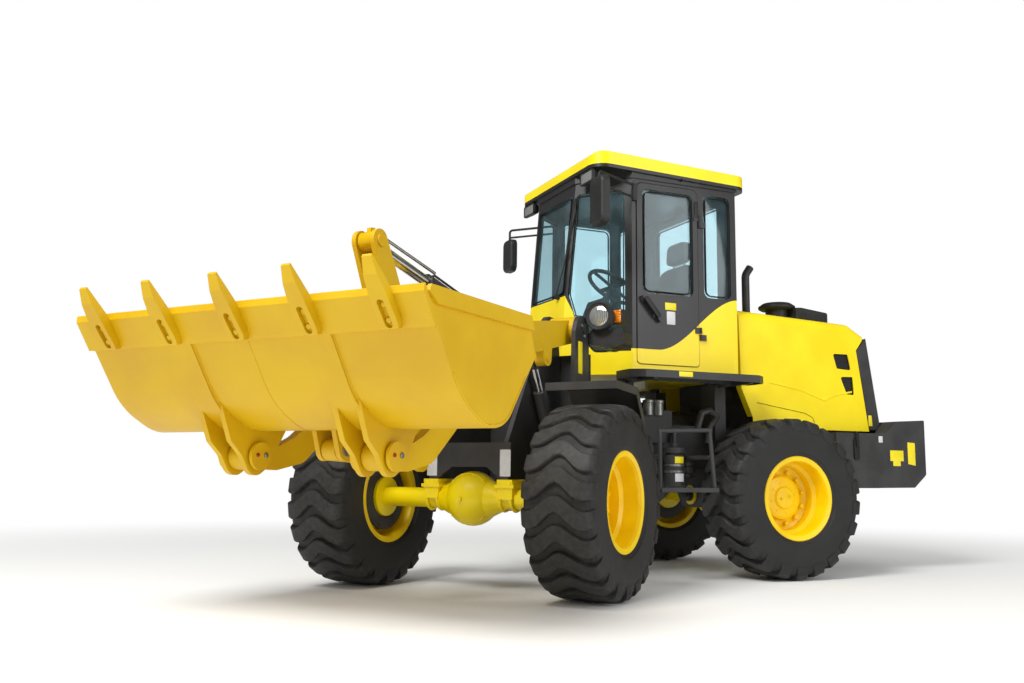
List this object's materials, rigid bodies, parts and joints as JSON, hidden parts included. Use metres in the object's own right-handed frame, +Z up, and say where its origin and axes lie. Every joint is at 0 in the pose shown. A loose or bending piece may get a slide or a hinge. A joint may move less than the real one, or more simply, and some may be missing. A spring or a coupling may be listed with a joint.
{
  "type": "wheel loader",
  "caption": "Compact articulated wheel loader with an enclosed cab, a toothed bucket on two lift arms, a tilting hood and rear counterweight.",
  "frame": {"origin": "centre of the machine's box in plan as it stands steered left, at ground level", "axes": "+Z up, -Y towards the front of the rear frame, +X to the operator's left"},
  "size_m": [3.7851, 5.9493, 2.8574],
  "materials": {
    "yellow_paint": "gloss enamel",
    "bucket_yellow": "gloss enamel, lightly worn",
    "rim_yellow": "gloss enamel",
    "black_paint": "satin enamel",
    "black_plastic": "moulded",
    "black_vinyl": "grained vinyl",
    "cast_iron": "painted casting",
    "chrome_rod": "polished",
    "steel_pin": "machined",
    "wear_steel": "worn enamel over steel",
    "exhaust_steel": "heat-stained",
    "tinted_glass": "tinted",
    "tyre_rubber": "matt rubber"
  },
  "bodies": {
    "chassis": {"rear_frame": "black_paint", "hinge_pins": "steel_pin", "counterweight": "black_paint", "rear_axle": "yellow_paint", "engine_block": "cast_iron", "gearbox": "cast_iron", "rear_drive_shafts": "black_paint", "cab_shell": "yellow_paint", "cab_glass": "tinted_glass", "cab_roof": "yellow_paint", "seat": "black_vinyl", "steering_console": "black_plastic", "platforms": "black_paint", "ladders": "black_paint", "mirrors": "black_plastic", "roof_lamps": "black_plastic", "battery_box": "black_plastic", "oil_tank": "black_paint"},
    "hood": {"hood": "yellow_paint", "rear_grille": "black_paint", "exhaust_pipe": "exhaust_steel", "air_intake": "black_plastic"},
    "door": {"door": "yellow_paint", "door_glass": "tinted_glass"},
    "front": {"front_frame": "black_paint", "front_axle": "yellow_paint", "front_drive_shaft": "black_paint", "front_fenders": "black_paint", "headlamps": "black_plastic"},
    "boom": {"boom": "bucket_yellow"},
    "bucket_pins": {"bucket_pins": "steel_pin"},
    "bucket": {"bucket": "bucket_yellow", "cutting_edge": "wear_steel", "bucket_teeth": "wear_steel"},
    "rocker_pin": {"rocker_pin": "steel_pin"},
    "rocker": {"rocker": "bucket_yellow"},
    "link_pin": {"link_pin": "steel_pin"},
    "tilt_link": {"tilt_link": "bucket_yellow"},
    "tilt_pin": {"tilt_pin": "steel_pin"},
    "tilt_barrel": {"tilt_barrel": "black_paint"},
    "tilt_rod": {"tilt_rod": "chrome_rod"},
    "lift_barrels": {"lift_barrels": "black_paint"},
    "lift_rods": {"lift_rods": "chrome_rod"},
    "steering_barrel_left": {"steering_barrel_left": "black_paint"},
    "steering_rod_left": {"steering_rod_left": "chrome_rod"},
    "wheel_front_left": {"tyre_front_left": "tyre_rubber", "rim_front_left": "rim_yellow"},
    "wheel_rear_left": {"tyre_rear_left": "tyre_rubber", "rim_rear_left": "rim_yellow"},
    "steering_barrel_right": {"steering_barrel_right": "black_paint"},
    "steering_rod_right": {"steering_rod_right": "chrome_rod"},
    "wheel_front_right": {"tyre_front_right": "tyre_rubber", "rim_front_right": "rim_yellow"},
    "wheel_rear_right": {"tyre_rear_right": "tyre_rubber", "rim_rear_right": "rim_yellow"}
  },
  "joints": [
    {"name": "steer", "type": "hinge", "parent": "chassis", "child": "front", "pos_m": [-0.906, 0.217, 0.66], "axis": [0, 0, 1], "range_deg": [-76.4, 0]},
    {"name": "boom_lift", "type": "hinge", "parent": "front", "child": "boom", "pos_m": [-0.43725, -0.37868, 1.585], "axis": [-0.7859, -0.6184, 0], "range_deg": [-19.5, 66]},
    {"name": "bucket_level", "type": "hinge", "parent": "boom", "child": "bucket_pins", "pos_m": [0.79957, -1.95039, 0.757], "axis": [-0.7859, -0.6184, 0], "range_deg": [-48.44, 14.66]},
    {"name": "bucket_dump", "type": "hinge", "parent": "bucket_pins", "child": "bucket", "pos_m": [0.79957, -1.95039, 0.757], "axis": [0.7859, 0.6184, 0], "range_deg": [-0.5, 110]},
    {"name": "rocker_level", "type": "hinge", "parent": "boom", "child": "rocker_pin", "pos_m": [0.34937, -1.37829, 1.231], "axis": [-0.7859, -0.6184, 0], "range_deg": [-4.4, 13.7]},
    {"name": "rocker_swing", "type": "hinge", "parent": "rocker_pin", "child": "rocker", "pos_m": [0.34937, -1.37829, 1.231], "axis": [-0.7859, -0.6184, 0], "range_deg": [-0.66, 35.18]},
    {"name": "link_level", "type": "hinge", "parent": "bucket", "child": "link_pin", "pos_m": [0.68411, -1.80367, 0.79264], "axis": [-0.7859, -0.6184, 0], "range_deg": [-14.98, 49.49]},
    {"name": "link_swing", "type": "hinge", "parent": "link_pin", "child": "tilt_link", "pos_m": [0.68411, -1.80367, 0.79264], "axis": [-0.7859, -0.6184, 0], "range_deg": [-0.99, 108.2]},
    {"name": "tilt_level", "type": "hinge", "parent": "front", "child": "tilt_pin", "pos_m": [-0.3618, -0.47455, 1.54], "axis": [-0.7859, -0.6184, 0], "range_deg": [-21.64, 72.05]},
    {"name": "tilt_barrel_swing", "type": "hinge", "parent": "tilt_pin", "child": "tilt_barrel", "pos_m": [-0.3618, -0.47455, 1.54], "axis": [-0.7859, -0.6184, 0], "range_deg": [-0.53, 7.12]},
    {"name": "tilt_rod_slide", "type": "slide", "parent": "tilt_barrel", "child": "tilt_rod", "axis": [0.6046, -0.7683, 0.2102], "range_m": [-0.38875, 0.00226]},
    {"name": "lift_barrel_swing", "type": "hinge", "parent": "front", "child": "lift_barrels", "pos_m": [-0.47311, -0.3331, 0.56], "axis": [-0.7859, -0.6184, 0], "range_deg": [-3.56, 10.84]},
    {"name": "lift_rod_slide", "type": "slide", "parent": "lift_barrels", "child": "lift_rods", "axis": [0.29, -0.3685, 0.8833], "range_m": [-0.12554, 0.42371]},
    {"name": "steer_barrel_left_swing", "type": "hinge", "parent": "chassis", "child": "steering_barrel_left", "pos_m": [-0.506, 0.977, 0.72], "axis": [0, 0, 1], "range_deg": [-17.15, 0.5]},
    {"name": "steer_rod_left_slide", "type": "slide", "parent": "steering_barrel_left", "child": "steering_rod_left", "axis": [0.0643, -0.9979, 0], "range_m": [-0.0005, 0.48153]},
    {"name": "steer_barrel_right_swing", "type": "hinge", "parent": "chassis", "child": "steering_barrel_right", "pos_m": [-1.306, 0.977, 0.72], "axis": [0, 0, 1], "range_deg": [-17.15, 0.5]},
    {"name": "steer_rod_right_slide", "type": "slide", "parent": "steering_barrel_right", "child": "steering_rod_right", "axis": [0.2243, -0.9745, 0], "range_m": [-0.48153, 0.0005]},
    {"name": "cab_door", "type": "hinge", "parent": "chassis", "child": "door", "pos_m": [-0.294, 0.962, 2.04], "axis": [0, 0, 1], "range_deg": [0, 100]},
    {"name": "hood_lid", "type": "hinge", "parent": "chassis", "child": "hood", "pos_m": [-0.906, 2.547, 1.09], "axis": [-1, 0, 0], "range_deg": [0, 50]},
    {"name": "wheel_front_left_spin", "type": "hinge", "parent": "front", "child": "wheel_front_left", "pos_m": [0.48459, -0.29206, 0.5375], "axis": [0.7859, 0.6184, 0], "continuous": true},
    {"name": "wheel_rear_left_spin", "type": "hinge", "parent": "chassis", "child": "wheel_rear_left", "pos_m": [-0.128, 1.477, 0.5375], "axis": [1, 0, 0], "continuous": true},
    {"name": "wheel_front_right_spin", "type": "hinge", "parent": "front", "child": "wheel_front_right", "pos_m": [-0.7382, -1.2543, 0.5375], "axis": [0.7859, 0.6184, 0], "continuous": true},
    {"name": "wheel_rear_right_spin", "type": "hinge", "parent": "chassis", "child": "wheel_rear_right", "pos_m": [-1.684, 1.477, 0.5375], "axis": [1, 0, 0], "continuous": true}
  ],
  "couplings": [
    {"joint": "bucket_level", "follows": "boom_lift", "ratio": -0.7264},
    {"joint": "rocker_level", "follows": "boom_lift", "ratio": 0.2},
    {"joint": "rocker_swing", "follows": "bucket_dump", "ratio": 0.3153},
    {"joint": "link_level", "follows": "boom_lift", "ratio": 0.74234},
    {"joint": "link_swing", "follows": "bucket_dump", "ratio": 0.97914},
    {"joint": "tilt_level", "follows": "boom_lift", "ratio": 1.0841},
    {"joint": "tilt_barrel_swing", "follows": "bucket_dump", "ratio": 0.060137},
    {"joint": "tilt_rod_slide", "follows": "bucket_dump", "m_per_rad": -0.20223},
    {"joint": "lift_barrel_swing", "follows": "boom_lift", "ratio": 0.15669},
    {"joint": "lift_rod_slide", "follows": "boom_lift", "m_per_rad": 0.3674},
    {"joint": "steer_barrel_left_swing", "follows": "steer", "ratio": 0.21797},
    {"joint": "steer_rod_left_slide", "follows": "steer", "m_per_rad": -0.36074},
    {"joint": "steer_barrel_right_swing", "follows": "steer", "ratio": 0.21797},
    {"joint": "steer_rod_right_slide", "follows": "steer", "m_per_rad": 0.36074}
  ]
}
